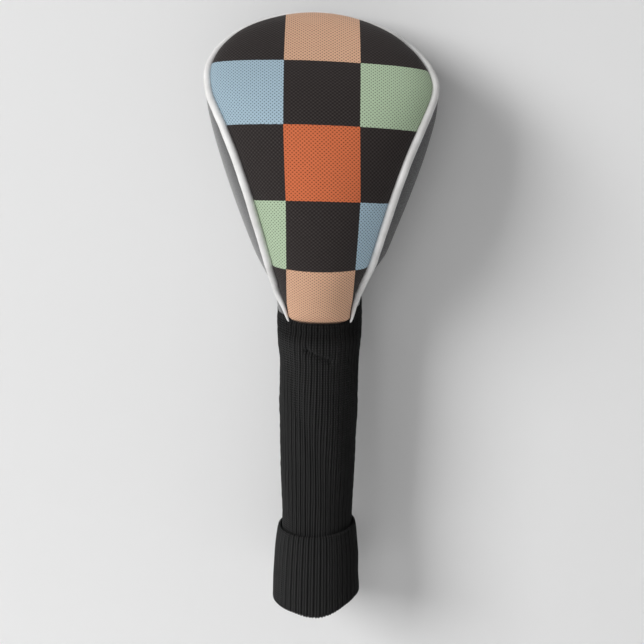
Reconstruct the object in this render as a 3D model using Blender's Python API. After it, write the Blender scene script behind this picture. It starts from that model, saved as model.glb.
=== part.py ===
"""Driver head cover: padded shell in sewn panels, white piping, and a long knitted sock.

Metres, +Z up. The sock hangs down the Z axis, the printed crown panel faces -Y,
and Z is 0 at the folded lower edge of the cuff.
"""
import math

import bmesh
import bpy
from mathutils import Vector

# ---- driving sizes of the shell -------------------------------------------------------------
SHELL_BOTTOM = 0.171          # height of the neck seam, where the shell meets the sock
NECK_RADIUS = 0.0230          # of the sock, and half the shell's width, at the neck seam
APEX_Y = 0.0115               # the shell's highest point
APEX_Z = 0.333
COLUMNS = 28                  # faces round the shell
# height, half width, front, back, and y of the widest line, from the neck seam to the top
STATIONS = (
    (SHELL_BOTTOM, NECK_RADIUS, -0.0220, 0.0220, 0.0000),
    (0.180, 0.0236, -0.0275, 0.0238, -0.0010),
    (0.192, 0.0276, -0.0350, 0.0258, -0.0025),
    (0.206, 0.0345, -0.0420, 0.0280, -0.0037),
    (0.225, 0.0418, -0.0488, 0.0298, -0.0054),
    (0.245, 0.0488, -0.0530, 0.0310, -0.0070),
    (0.265, 0.0553, -0.0525, 0.0312, -0.0071),
    (0.284, 0.0600, -0.0475, 0.0310, -0.0068),
    (0.297, 0.0608, -0.0395, 0.0305, -0.0058),
    (0.309, 0.0567, -0.0285, 0.0292, -0.0036),
    (0.318, 0.0486, -0.0187, 0.0274, -0.0008),
    (0.325, 0.0376, -0.0095, 0.0249, 0.0025),
    (0.3298, 0.0240, -0.0010, 0.0217, 0.0065),
    (0.3322, 0.0120, 0.0055, 0.0178, 0.0095),
)
BACK_FULLNESS = 2.4           # exponent of the back half of a section; 2 is an ellipse

# ---- seams, seen from the side as y over z ----------------------------------------------------
# The seams are drawn on a shell this deep; on a deeper or shallower one they keep their place.
SEAMS_DRAWN_FOR_DEPTH = 0.0842
SHELL_DEPTH = max(row[3] for row in STATIONS) - min(row[2] for row in STATIONS)
DEPTH_SHARE = SHELL_DEPTH / SEAMS_DRAWN_FOR_DEPTH
PIPING_SEAM = (
    (0.165, -0.0150), (0.178, -0.0158), (0.187, -0.0166), (0.196, -0.0221), (0.208, -0.0286),
    (0.220, -0.0325), (0.231, -0.0349), (0.242, -0.0364), (0.252, -0.0361), (0.262, -0.0346),
    (0.271, -0.0318), (0.279, -0.0283), (0.285, -0.0243), (0.291, -0.0193), (0.297, -0.0146),
    (0.303, -0.0095), (0.310, -0.0032), (0.317, 0.0032), (0.323, 0.0090), (0.328, 0.0138),
    (0.3325, 0.0180), (0.345, 0.0300),
)
SOLE_SEAM = (
    (0.165, 0.0090), (0.195, 0.0105), (0.225, 0.0110), (0.250, 0.0090), (0.275, 0.0050),
    (0.295, -0.0005), (0.309, -0.0041), (0.345, -0.0041),
)
PIPING_CROSSES_Z = 0.3323     # height at which the piping crosses the middle of the top
PIPING_CROSSES_Y = 0.0177
PIPING_SEAM = tuple((z, y * DEPTH_SHARE) for z, y in PIPING_SEAM)
SOLE_SEAM = tuple((z, y * DEPTH_SHARE) for z, y in SOLE_SEAM)

# ---- layers of the padded wall ----------------------------------------------------------------
LAYER_GAP = 0.0003
FACE_THICKNESS = 0.0010
FOAM_THICKNESS = 0.0030
LINING_THICKNESS = 0.0010
FOAM_DEPTH = FACE_THICKNESS + LAYER_GAP
LINING_LOOSE = 0.0004         # the lining hangs a little clear of the foam
LINING_DEPTH = FOAM_DEPTH + FOAM_THICKNESS + LINING_LOOSE

# ---- piping -----------------------------------------------------------------------------------
PIPING_RADIUS = 0.00205
PIPING_WRAP = 0.0006          # thickness of the vinyl round the filler cord
PIPING_SUNK = 0.00045         # how deep the piping sits in the seam
PIPING_STANDS_OUT = PIPING_RADIUS - PIPING_SUNK   # piping centre above the fabric
PIPING_STEPS = 20             # points from the neck seam to the top, on each side
PIPING_FIRST_Z = 0.1738
CORD_RADIUS = PIPING_RADIUS - PIPING_WRAP - LAYER_GAP
SEAM_CLEARANCE = 0.0009
FACE_SEAM = PIPING_RADIUS + SEAM_CLEARANCE   # half gap between face panels under the piping
INNER_SEAM = 0.0006           # half gap between the foams and linings at the same seam
PLAIN_SEAM = 0.0002           # half gap at the seam between gusset and sole

# ---- sock -------------------------------------------------------------------------------------
KNIT = 0.0016                 # thickness of the ribbed knit
SOCK_COLUMNS = 28
JOIN_GAP = 0.0003             # between two lengths of the sock
COLLAR_FOOT = 0.165           # the collar is the length sewn to the shell
FRONT_BEND_FOOT = 0.135       # below it the sock bends front to back
UPPER_BAND_FOOT = 0.129
SIDE_BEND_FOOT = 0.099        # below it the sock bends side to side
LOWER_BAND_FOOT = 0.093
GATHER_FOOT = 0.053           # the length that gathers when the cuff is pushed up
# height and outside radius of the sock
SOCK_OUTLINE = (
    (0.053, 0.0204), (0.070, 0.0203), (0.093, 0.0208), (0.118, 0.0217), (0.145, 0.0218),
    (0.157, 0.0229), (SHELL_BOTTOM, NECK_RADIUS),
)

# ---- neck elastic and its casing ----------------------------------------------------------------
CASING_OUTER = 0.0202
CASING_WALL = 0.0006
CASING_FOOT = 0.1630
CASING_HEIGHT = 0.0072
ELASTIC_THICKNESS = 0.0009

# ---- cuff ---------------------------------------------------------------------------------------
CUFF_TURN = 0.0500            # height of the turned-up layer
CUFF_KNIT = 0.0016
CUFF_FOLD = 0.0024            # height of the fold at the lower edge
# height and outside radius of the turned-up layer
CUFF_OUTLINE = (
    (0.0000, 0.0228), (CUFF_FOLD, 0.0243), (0.0060, 0.0246), (0.0250, 0.0239),
    (0.0380, 0.0234), (0.0480, 0.0227), (CUFF_TURN, 0.0223),
)

CUTTER_REACH = 0.090          # how far the cutting prisms run past the shell


def clear_scene():
    for old in list(bpy.data.objects):
        bpy.data.objects.remove(old, do_unlink=True)


def material(name, colour, roughness):
    made = bpy.data.materials.new(name)
    made.use_nodes = True
    shader = made.node_tree.nodes["Principled BSDF"]
    shader.inputs["Base Color"].default_value = (*colour, 1.0)
    shader.inputs["Roughness"].default_value = roughness
    shader.inputs["Metallic"].default_value = 0.0
    made.diffuse_color = (*colour, 1.0)
    return made


def interpolate(table, at, column):
    """Value of a column of a table at a height, straight between its rows."""
    if at <= table[0][0]:
        return table[0][column]
    for low, high in zip(table, table[1:]):
        if at <= high[0]:
            share = (at - low[0]) / (high[0] - low[0])
            return low[column] + (high[column] - low[column]) * share
    return table[-1][column]


def add_object(name, mesh_source, skin, smooth=True):
    """Mesh object from a bmesh, with its own material."""
    mesh = bpy.data.meshes.new(name)
    mesh_source.to_mesh(mesh)
    mesh_source.free()
    if smooth:
        for face in mesh.polygons:
            face.use_smooth = True
    made = bpy.data.objects.new(name, mesh)
    bpy.context.scene.collection.objects.link(made)
    if skin is not None:
        made.data.materials.append(skin)
    return made


def section_point(row, angle):
    """Point of a level section; angle 0 is at +X and a quarter turn is at the back."""
    height, half_width, front, back, wide_y = row
    across = math.cos(angle)
    along = math.sin(angle)
    if along <= 0:
        return Vector((half_width * across, wide_y + (wide_y - front) * along, height))
    power = 2.0 / BACK_FULLNESS
    x = half_width * math.copysign(abs(across) ** power, across)
    return Vector((x, wide_y + (back - wide_y) * along ** power, height))


def shell_skin():
    """Outer skin of the shell: one ring per station, bridged, with a point at the top."""
    made = bmesh.new()
    rings = []
    for row in STATIONS:
        circle = bmesh.ops.create_circle(made, segments=COLUMNS, radius=1.0)
        ring = circle["verts"]
        for vertex in ring:
            vertex.co = section_point(row, math.atan2(vertex.co.y, vertex.co.x))
        edges = {edge for vertex in ring for edge in vertex.link_edges}
        rings.append(list(edges))
    for lower, upper in zip(rings, rings[1:]):
        bmesh.ops.bridge_loops(made, edges=lower + upper)
    cap = bmesh.ops.holes_fill(made, edges=rings[-1], sides=COLUMNS)
    bmesh.ops.poke(made, faces=cap["faces"])
    made.verts.ensure_lookup_table()
    made.verts[-1].co = (0.0, APEX_Y, APEX_Z)
    # the layers share one set of diagonals, so that they stay parallel
    bmesh.ops.triangulate(made, faces=made.faces, quad_method="SHORT_EDGE")
    bmesh.ops.recalc_face_normals(made, faces=made.faces)
    return made


def yz_prism(name, outline, x_low, x_high):
    """Cutting prism: a side-view outline carried across from x_low to x_high."""
    made = bmesh.new()
    corners = [made.verts.new((x_low, y, z)) for z, y in outline]
    face = made.faces.new(corners)
    pushed = bmesh.ops.extrude_face_region(made, geom=[face])
    moved = [item for item in pushed["geom"] if isinstance(item, bmesh.types.BMVert)]
    bmesh.ops.translate(made, verts=moved, vec=(x_high - x_low, 0.0, 0.0))
    bmesh.ops.recalc_face_normals(made, faces=made.faces)
    cutter = add_object(name, made, None, smooth=False)
    cutter.hide_render = True
    cutter.display_type = "WIRE"
    return cutter


def seam_offset(table, height, offset):
    """y of a seam moved square to itself by offset, towards the back when positive."""
    step = 0.001
    slope = (interpolate(table, height + step, 1) - interpolate(table, height - step, 1)) / (2 * step)
    return interpolate(table, height, 1) + offset * math.hypot(1.0, slope)


def seam_heights(top):
    heights = [z for z, _ in PIPING_SEAM if z < top]
    return heights + [top]


def panel_cutters(label, half_gap):
    """Prisms that cut one layer of the wall into crown, two gussets and sole."""
    top = PIPING_SEAM[-1][0]
    heights = seam_heights(top)
    front = [(z, seam_offset(PIPING_SEAM, z, -half_gap)) for z in heights]
    behind = [(z, seam_offset(PIPING_SEAM, z, half_gap)) for z in heights]
    sole = [(z, seam_offset(SOLE_SEAM, z, PLAIN_SEAM)) for z in heights]
    sole = [(z, max(y, b)) for (z, y), (_, b) in zip(sole, behind)]
    low = heights[0]
    crown = front + [(top, -CUTTER_REACH), (low, -CUTTER_REACH)]
    back = sole + [(top, CUTTER_REACH), (low, CUTTER_REACH)]
    facing = [(z, seam_offset(SOLE_SEAM, z, -PLAIN_SEAM)) for z in heights]
    narrowest = 4 * SEAM_CLEARANCE
    kept = [(b, s) for b, s in zip(behind, facing) if s[1] - b[1] > narrowest and b[0] < SOLE_SEAM[-2][0]]
    wedge = [b for b, _ in kept] + [s for _, s in reversed(kept)]
    return {
        "crown": yz_prism("cut_crown_" + label, crown, -CUTTER_REACH, CUTTER_REACH),
        "sole": yz_prism("cut_sole_" + label, back, -CUTTER_REACH, CUTTER_REACH),
        "left": yz_prism("cut_left_" + label, wedge, -CUTTER_REACH, 0.0),
        "right": yz_prism("cut_right_" + label, wedge, 0.0, CUTTER_REACH),
    }


def wall_piece(name, depth, thickness, cutter, skin):
    """One layer of the wall, held to the part of it inside a cutting prism."""
    made = add_object(name, shell_skin(), skin)
    if depth > 0:
        sink = made.modifiers.new("depth", "DISPLACE")
        sink.strength = -depth
        sink.mid_level = 0.0
    wall = made.modifiers.new("wall", "SOLIDIFY")
    wall.thickness = thickness
    wall.offset = -1.0
    wall.use_even_offset = False
    cut = made.modifiers.new("panel", "BOOLEAN")
    cut.operation = "INTERSECT"
    cut.solver = "EXACT"
    cut.object = cutter
    return made


def shell_layers():
    face_cut = panel_cutters("face", FACE_SEAM)
    inner_cut = panel_cutters("inner", INNER_SEAM)
    print_cloth = material("printed_polyester", (0.30, 0.22, 0.18), 0.8)
    leather = material("faux_leather", (0.030, 0.030, 0.032), 0.45)
    foam = material("padding_foam", (0.75, 0.74, 0.70), 0.95)
    fleece = material("fleece_lining", (0.10, 0.10, 0.11), 0.95)
    sides = (("crown", "crown"), ("gusset_left", "left"), ("gusset_right", "right"), ("sole", "sole"))
    for name, key in sides:
        skin = print_cloth if key == "crown" else leather
        wall_piece(name + "_panel", 0.0, FACE_THICKNESS, face_cut[key], skin)
        wall_piece(name + "_foam", FOAM_DEPTH, FOAM_THICKNESS, inner_cut[key], foam)
        wall_piece(name + "_lining", LINING_DEPTH, LINING_THICKNESS, inner_cut[key], fleece)


def shell_row(height):
    return (height,) + tuple(interpolate(STATIONS, height, column) for column in range(1, 5))


def surface_at(height, y, side):
    """Point on the shell at a height and a depth y, on the right (1) or left (-1)."""
    row = shell_row(height)
    reach = (row[4] - row[2]) if y < row[4] else (row[3] - row[4])
    share = min(abs(y - row[4]) / reach, 1.0)
    power = 2.0 if y < row[4] else BACK_FULLNESS
    across = max(1.0 - share ** power, 0.0) ** (1.0 / power)
    return Vector((side * row[1] * across, y, height))


def piping_path():
    """Centre line of the piping, from the left of the neck over the top to the right."""
    side = []
    last_z = PIPING_CROSSES_Z - 0.0009
    for index in range(PIPING_STEPS):
        share = index / (PIPING_STEPS - 1)
        height = PIPING_FIRST_Z + (last_z - PIPING_FIRST_Z) * (1 - (1 - share) ** 1.35)
        y = interpolate(PIPING_SEAM, height, 1)
        point = surface_at(height, y, 1)
        row = shell_row(height)
        above = surface_at(height + 0.002, y, 1)
        below = surface_at(height - 0.002, y, 1)
        rise = (above - below).normalized()
        deep = surface_at(height, y + 0.001, 1) - surface_at(height, y - 0.001, 1)
        normal = deep.cross(rise).normalized()
        if normal.dot(point - Vector((0.0, row[4], height - 0.01))) < 0:
            normal = -normal
        side.append(point + normal * PIPING_STANDS_OUT)
    crossing = Vector((0.0, PIPING_CROSSES_Y * DEPTH_SHARE, PIPING_CROSSES_Z + PIPING_STANDS_OUT))
    left = [Vector((-p.x, p.y, p.z)) for p in side]
    return left + [crossing] + list(reversed(side))


def swept(name, points, radius, skin, capped, sides):
    line = bpy.data.curves.new(name, "CURVE")
    line.dimensions = "3D"
    line.bevel_depth = radius
    line.bevel_resolution = sides
    line.use_fill_caps = capped
    spline = line.splines.new("NURBS")
    spline.points.add(len(points) - 1)
    for target, place in zip(spline.points, points):
        target.co = (*place, 1.0)
    spline.order_u = 3
    spline.use_endpoint_u = True
    spline.resolution_u = 1
    made = bpy.data.objects.new(name, line)
    bpy.context.scene.collection.objects.link(made)
    line.materials.append(skin)
    return made


def piping():
    points = piping_path()
    vinyl = material("white_vinyl", (0.80, 0.80, 0.79), 0.4)
    cotton = material("filler_cord", (0.70, 0.68, 0.62), 0.9)
    wrap = swept("piping_wrap", points, PIPING_RADIUS, vinyl, False, 2)
    hollow = wrap.modifiers.new("wrap", "SOLIDIFY")
    hollow.thickness = PIPING_WRAP
    hollow.offset = -1.0
    swept("piping_cord", points, CORD_RADIUS, cotton, True, 1)


def turned(name, profile, skin, columns=SOCK_COLUMNS):
    """Body of revolution from a closed profile of (radius, height) corners."""
    made = bmesh.new()
    corners = [made.verts.new((radius, 0.0, height)) for radius, height in profile]
    edges = [made.edges.new((a, b)) for a, b in zip(corners, corners[1:] + corners[:1])]
    bmesh.ops.spin(
        made, geom=corners + edges, cent=(0, 0, 0), axis=(0, 0, 1),
        angle=math.tau, steps=columns, use_merge=True,
    )
    bmesh.ops.remove_doubles(made, verts=made.verts, dist=1e-6)
    bmesh.ops.recalc_face_normals(made, faces=made.faces)
    return add_object(name, made, skin)


def tube_profile(outline, low, high, wall):
    """Closed wall profile between two heights, following an outside-radius table."""
    heights = [low] + [z for z, _ in outline if low < z < high] + [high]
    outer = [(interpolate(outline, z, 1), z) for z in heights]
    inner = [(radius - wall, z) for radius, z in reversed(outer)]
    return outer + inner


def sock():
    knit = material("ribbed_knit", (0.020, 0.020, 0.021), 0.9)
    lengths = (
        ("sock_collar", COLLAR_FOOT, SHELL_BOTTOM),
        ("sock_front_bend", FRONT_BEND_FOOT, COLLAR_FOOT),
        ("sock_upper_band", UPPER_BAND_FOOT, FRONT_BEND_FOOT),
        ("sock_side_bend", SIDE_BEND_FOOT, UPPER_BAND_FOOT),
        ("sock_lower_band", LOWER_BAND_FOOT, SIDE_BEND_FOOT),
        ("sock_gather", GATHER_FOOT, LOWER_BAND_FOOT),
    )
    for name, foot, top in lengths:
        turned(name, tube_profile(SOCK_OUTLINE, foot, top - JOIN_GAP, KNIT), knit)
    inner_foot = CUFF_FOLD + JOIN_GAP
    inner_outline = ((0.0, SOCK_OUTLINE[0][1]), SOCK_OUTLINE[0])
    inner = tube_profile(inner_outline, inner_foot, GATHER_FOOT - JOIN_GAP, KNIT)
    turned("cuff_inner", inner, knit)
    outer = [(radius, z) for z, radius in CUFF_OUTLINE]
    back = [(radius - CUFF_KNIT, z) for z, radius in reversed(CUFF_OUTLINE) if z >= CUFF_FOLD]
    mouth = SOCK_OUTLINE[0][1] - KNIT
    fold = [(mouth, CUFF_FOLD), (mouth + CUFF_FOLD / 2, 0.0)]
    turned("cuff_outer", outer + back + fold, knit)


def neck_band():
    tape = material("casing_tape", (0.04, 0.04, 0.045), 0.85)
    rubber = material("knitted_elastic", (0.60, 0.60, 0.58), 0.8)
    inner = CASING_OUTER - 2 * CASING_WALL - ELASTIC_THICKNESS - 2 * LAYER_GAP
    top = CASING_FOOT + CASING_HEIGHT
    floor = CASING_FOOT + CASING_WALL
    channel = [
        (inner, CASING_FOOT), (CASING_OUTER, CASING_FOOT), (CASING_OUTER, top),
        (CASING_OUTER - CASING_WALL, top), (CASING_OUTER - CASING_WALL, floor),
        (inner + CASING_WALL, floor), (inner + CASING_WALL, top), (inner, top),
    ]
    turned("neck_casing", channel, tape)
    low = floor + LAYER_GAP
    band_in = inner + CASING_WALL + LAYER_GAP
    band_out = band_in + ELASTIC_THICKNESS
    band = [(band_in, low), (band_out, low), (band_out, top - LAYER_GAP), (band_in, top - LAYER_GAP)]
    turned("neck_elastic", band, rubber)


clear_scene()
shell_layers()
piping()
sock()
neck_band()
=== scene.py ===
# %% [markdown]
# # Driver head cover
# A driver head cover is a padded hood for the largest golf club, with a long knitted sock
# that guards the shaft. The hood is sewn from four panels over foam: a printed crown in
# front, two narrow side gussets and a sole panel behind. White piping runs round the crown.
# The sock is one tube of ribbed knit, turned up at its lower end to make a cuff.
#
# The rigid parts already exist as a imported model. This script loads them as a fixed frame
# and builds the cloth, the piping and the knit around them in the same place and size.

# %% Load the fixed frame
import math

import bmesh
import bpy
import numpy as np
from mathutils import Matrix, Vector, noise
from mathutils.kdtree import KDTree


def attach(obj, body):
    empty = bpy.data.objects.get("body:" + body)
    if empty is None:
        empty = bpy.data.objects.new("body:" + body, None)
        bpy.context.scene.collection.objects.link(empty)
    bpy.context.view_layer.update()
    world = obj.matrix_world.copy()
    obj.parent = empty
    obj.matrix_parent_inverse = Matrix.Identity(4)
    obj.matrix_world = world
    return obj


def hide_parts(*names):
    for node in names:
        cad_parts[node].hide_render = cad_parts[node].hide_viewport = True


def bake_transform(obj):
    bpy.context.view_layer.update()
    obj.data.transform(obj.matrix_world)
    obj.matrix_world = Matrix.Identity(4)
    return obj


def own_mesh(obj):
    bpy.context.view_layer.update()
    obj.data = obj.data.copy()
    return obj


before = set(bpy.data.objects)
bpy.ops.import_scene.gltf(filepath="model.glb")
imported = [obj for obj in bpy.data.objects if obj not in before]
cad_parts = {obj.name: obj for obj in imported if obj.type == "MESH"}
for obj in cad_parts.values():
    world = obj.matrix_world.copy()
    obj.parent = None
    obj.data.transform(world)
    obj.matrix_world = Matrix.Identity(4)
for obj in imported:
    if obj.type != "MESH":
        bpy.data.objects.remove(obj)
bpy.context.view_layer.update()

MM = 0.001
FRONT = -math.pi / 2          # the direction of -Y, where the crown panel faces


# %% [markdown]
# ## The outline of the hood
# A sewn hood has no straight line in it, so it is described by level sections: at each
# height a half width, how far the front and back stand out, and where the widest line
# lies. A smooth curve through those few rows gives every section between them. The seams
# are described once, as seen from the side, and cut both halves of the hood alike.

# %% Section sizes in millimetres: height, half width, front, back, widest line
SECTIONS = np.array((
    (171.0, 23.0, -22.0, 22.0, 0.0),
    (180.0, 23.6, -27.5, 23.8, -1.0),
    (192.0, 27.6, -35.0, 25.8, -2.5),
    (206.0, 34.5, -42.0, 28.0, -3.7),
    (225.0, 41.8, -48.8, 29.8, -5.4),
    (245.0, 48.8, -53.0, 31.0, -7.0),
    (265.0, 55.3, -52.5, 31.2, -7.1),
    (284.0, 60.0, -47.5, 31.0, -6.8),
    (297.0, 60.8, -39.5, 30.5, -5.8),
    (309.0, 56.7, -28.5, 29.2, -3.6),
    (318.0, 48.6, -18.7, 27.4, -0.8),
    (325.0, 37.6, -9.5, 24.9, 2.5),
    (329.8, 24.0, -1.0, 21.7, 6.5),
    (332.2, 12.0, 5.5, 17.8, 9.5),
    (333.0, 0.0, 11.5, 11.5, 11.5),
))
BACK_FULLNESS = 2.4           # 2 would make the back half an ellipse

# height and depth of the seam between crown and gusset, where the piping lies
PIPING_SEAM = np.array((
    (165.0, -15.0), (178.0, -15.8), (187.0, -16.6), (196.0, -22.1), (208.0, -28.6),
    (220.0, -32.5), (231.0, -34.9), (242.0, -36.4), (252.0, -36.1), (262.0, -34.6),
    (271.0, -31.8), (279.0, -28.3), (285.0, -24.3), (291.0, -19.3), (297.0, -14.6),
    (303.0, -9.5), (310.0, -3.2), (317.0, 3.2), (323.0, 9.0), (328.0, 13.8),
    (332.3, 17.7), (345.0, 29.0),
))
# height and depth of the seam between gusset and sole
SOLE_SEAM = np.array((
    (165.0, 9.0), (195.0, 10.5), (225.0, 11.0), (250.0, 9.0), (275.0, 5.0),
    (295.0, -0.5), (309.0, -4.1), (345.0, -4.1),
))
CROSSING = 332.3              # height at which the piping crosses the top


# %% Smooth curves through the rows
def smooth_curve(places, values, flat_end=False):
    """Function that runs smoothly through values at places (a cubic Hermite curve)."""
    slopes = np.gradient(values, places, axis=0)
    if flat_end:
        slopes[-1, 0] = 0.0

    def at(place):
        place = np.clip(place, places[0], places[-1])
        row = np.clip(np.searchsorted(places, place, side="right") - 1, 0, len(places) - 2)
        span = places[row + 1] - places[row]
        t = ((place - places[row]) / span)[..., None]
        span = span[..., None]
        rise = 2 * t**3 - 3 * t**2 + 1
        leave = (t**3 - 2 * t**2 + t) * span
        arrive = (t**3 - t**2) * span
        return (rise * values[row] + leave * slopes[row]
                + (1 - rise) * values[row + 1] + arrive * slopes[row + 1])

    return at


steps = np.hypot(*np.diff(SECTIONS[:, [0, 2]], axis=0).T)
along_front = np.concatenate(([0.0], np.cumsum(steps)))
section_at = smooth_curve(along_front, SECTIONS, flat_end=True)
seam_depth = smooth_curve(PIPING_SEAM[:, 0], PIPING_SEAM[:, 1:])
sole_depth = smooth_curve(SOLE_SEAM[:, 0], SOLE_SEAM[:, 1:])
CROWN_LENGTH = along_front[-1]
print("crown from neck seam to the top, in mm:", round(CROWN_LENGTH, 1))


# how the worn hood sits: its top leans left, and its right side is drawn in at two heights
LEAN = np.array(((280.0, 0.0), (297.0, -0.6), (309.0, -1.6), (320.0, -3.0), (333.0, -5.5)))
DRAWN_IN = np.array((
    (172.0, 0.0), (180.0, 0.07), (187.0, 0.12), (196.0, 0.07), (208.0, 0.0), (298.0, 0.0),
    (309.0, 0.04), (318.0, 0.055), (327.0, 0.04), (333.0, 0.0),
))


def hood_point(level, angle):
    """Points on the hood, in millimetres; level runs up the front, a quarter turn is the back."""
    height, half, front, back, wide = np.moveaxis(section_at(level), -1, 0)
    across, along = np.cos(angle), np.sin(angle)
    behind = along > 0
    power = np.where(behind, 2 / BACK_FULLNESS, 1.0)
    depth = np.where(behind, back - wide, wide - front)
    x = half * np.sign(across) * np.abs(across) ** power
    y = wide + depth * np.sign(along) * np.abs(along) ** power
    x = x * (1 - np.interp(height, *DRAWN_IN.T) * np.clip(across, 0, 1)) + np.interp(height, *LEAN.T)
    return np.stack((x, y, height), axis=-1)


def seam_angle(level, depth_curve):
    """Angle on the right at which a seam meets the section at a level."""
    height, _, front, back, wide = np.moveaxis(section_at(level), -1, 0)
    depth = depth_curve(height)[..., 0] - wide
    ahead = -np.arcsin(np.clip(-depth / np.maximum(wide - front, 1e-6), 0, 1))
    share = np.clip(depth / np.maximum(back - wide, 1e-6), 0, 1)
    behind = np.arcsin(share ** (BACK_FULLNESS / 2))
    angle = np.where(depth < 0, ahead, behind)
    return np.where(height >= CROSSING, math.pi / 2, angle)


# %% [markdown]
# ## Pieces from a mapped grid
# Every cloth piece here starts flat, as cloth does. A grid is made with bmesh, and one
# function lays it on the body, so its own UV map keeps the cloth's directions for the
# weave and the ribs. Where the grid closes on itself its doubles are merged.

# %% A grid laid over a form
def laid_grid(name, across, up, place, cloth, merge=0.02):
    """Mesh piece from a grid, laid by arrays u and v in 0..1.

    place gives the points in millimetres and cloth gives the cloth's own two directions.
    """
    made = bmesh.new()
    layer = made.loops.layers.uv.new("UVMap")
    bmesh.ops.create_grid(made, x_segments=across, y_segments=up, size=0.5)
    flat = np.array([vertex.co[:2] for vertex in made.verts]) + 0.5
    laid = place(flat[:, 0], flat[:, 1]) * MM
    woven = cloth(flat[:, 0], flat[:, 1])
    for face in made.faces:
        for loop in face.loops:
            loop[layer].uv = woven[loop.vert.index]
    for vertex, spot in zip(made.verts, laid):
        vertex.co = spot
    bmesh.ops.remove_doubles(made, verts=made.verts, dist=merge * MM)
    for edge in made.edges:
        edge.smooth = not edge.is_boundary
    mesh = bpy.data.meshes.new(name)
    for face in made.faces:
        face.smooth = True
    made.to_mesh(mesh)
    made.free()
    piece = bpy.data.objects.new(name, mesh)
    bpy.context.scene.collection.objects.link(piece)
    return piece


def thicken(piece, thickness):
    """Gives a laid cloth its wall with a Solidify modifier."""
    wall = piece.modifiers.new("thickness", "SOLIDIFY")
    wall.thickness = thickness * MM
    wall.offset = -1.0
    wall.use_even_offset = False
    return piece


def mesh_arrays(piece):
    """Places and normals of a piece's vertices, as arrays."""
    count = len(piece.data.vertices)
    places, normals = np.empty(count * 3), np.empty(count * 3)
    piece.data.vertices.foreach_get("co", places)
    piece.data.vertices.foreach_get("normal", normals)
    return places.reshape(-1, 3), normals.reshape(-1, 3)


def move_vertices(piece, places):
    piece.data.vertices.foreach_set("co", places.ravel())
    piece.data.update()


# %% Lines of the seams, for dips and stitching
def seam_line(depth_curve, top, side, count=400):
    """Points of a seam on the left (-1) or right (1) side, from the neck up, in metres."""
    levels = np.linspace(0, CROWN_LENGTH, 2400)
    heights = section_at(levels)[:, 0]
    levels = levels[heights <= top]
    angles = seam_angle(levels, depth_curve)
    points = hood_point(levels, angles if side > 0 else math.pi - angles) * MM
    lengths = np.concatenate(([0], np.cumsum(np.linalg.norm(np.diff(points, axis=0), axis=1))))
    even = np.linspace(0, lengths[-1], count)
    return np.stack([np.interp(even, lengths, points[:, axis]) for axis in range(3)], axis=1)


JOIN = 309.0                  # height at which the gusset's two seams meet
seam_lines = [seam_line(curve, top, side) for side in (-1, 1)
              for curve, top in ((seam_depth, CROSSING), (sole_depth, JOIN))]
seam_lines.append(hood_point(np.zeros(200), np.linspace(0, math.tau, 200)) * MM)
seam_spots = np.concatenate(seam_lines)
seam_tree = KDTree(len(seam_spots))
for number, spot in enumerate(seam_spots):
    seam_tree.insert(spot, number)
seam_tree.balance()
print("piping seam on one side, in mm:",
      round(1000 * float(np.linalg.norm(np.diff(seam_lines[0], axis=0), axis=1).sum())))

SEAM_DIP = 0.9                # how far a seam pulls the cloth in, in mm
SEAM_REACH = 3.2              # how far from the seam the pull is felt
PUCKER = 0.16                 # small waves that the stitches draw along a seam


def tufted(piece, sink=0.0, dip=SEAM_DIP):
    """Pulls a piece of the hood in along its seams, and lays it a given depth inside."""
    places, normals = mesh_arrays(piece)
    pulled = np.empty(len(places))
    for index, spot in enumerate(places):
        distance = seam_tree.find(spot)[2] / MM
        near = math.exp(-((distance / SEAM_REACH) ** 2))
        wave = noise.noise(Vector(spot) * 260) * PUCKER
        swell = noise.noise(Vector(spot) * 28 + Vector((3, 7, 1))) * 0.35
        pulled[index] = near * (dip + wave) - swell * (1 - near)
    move_vertices(piece, places - normals * ((pulled + sink) * MM)[:, None])
    return piece


# %% [markdown]
# ## One way to add a shader node
# All materials are made with nodes. A single small function adds a node, sets what is
# constant and makes its links, so that each material reads as a list of what it is made of.

# %% Node helper and colours
def add(tree, kind, settings=(), **inputs):
    """Adds a shader node; inputs given as sockets are linked and other values are set."""
    made = tree.nodes.new("ShaderNode" + kind)
    for key, value in dict(settings).items():
        setattr(made, key, value)
    for key, value in inputs.items():
        slot = made.inputs[int(key[1:])] if key[0] == "i" and key[1:].isdigit() else (
            made.inputs[key.replace("_", " ")])
        if isinstance(value, bpy.types.NodeSocket):
            tree.links.new(value, slot)
        else:
            slot.default_value = value
    return made


def linear(code):
    """Linear colour from an sRGB hex code."""
    parts = [int(code[i:i + 2], 16) / 255 for i in (1, 3, 5)]
    return tuple(p / 12.92 if p <= 0.04045 else ((p + 0.055) / 1.055) ** 2.4 for p in parts) + (1.0,)


def new_material(name):
    """Empty material with its Principled shader, and the tree that holds it."""
    made = bpy.data.materials.new(name)
    made.use_nodes = True
    return made, made.node_tree, made.node_tree.nodes["Principled BSDF"]


def math_of(tree, operation, first, second=0.0, third=0.0):
    return add(tree, "Math", {"operation": operation}, i0=first, i1=second, i2=third).outputs[0]


# %% [markdown]
# ## Printed polyester
# The crown is warp-knitted polyester, dyed by heat transfer. It is matt, with a fine
# lattice of small holes, and the print is a checkerboard in five flat colours whose
# dark squares are a warm near-black. The piece's UV map carries the cut cloth: U counts
# squares from the middle line and V counts rows from the neck, so the colours are looked up
# by square, and the lattice is drawn from the same map in millimetres.

# %% Printed cloth material
SQUARE_WIDE = 35.8            # mm
SQUARE_TALL = 39.5
BLACK, PEACH, BLUE, GREEN, ORANGE = "#2a2423", "#cba185", "#9cb3c1", "#a8bb9f", "#c4663f"
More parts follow.
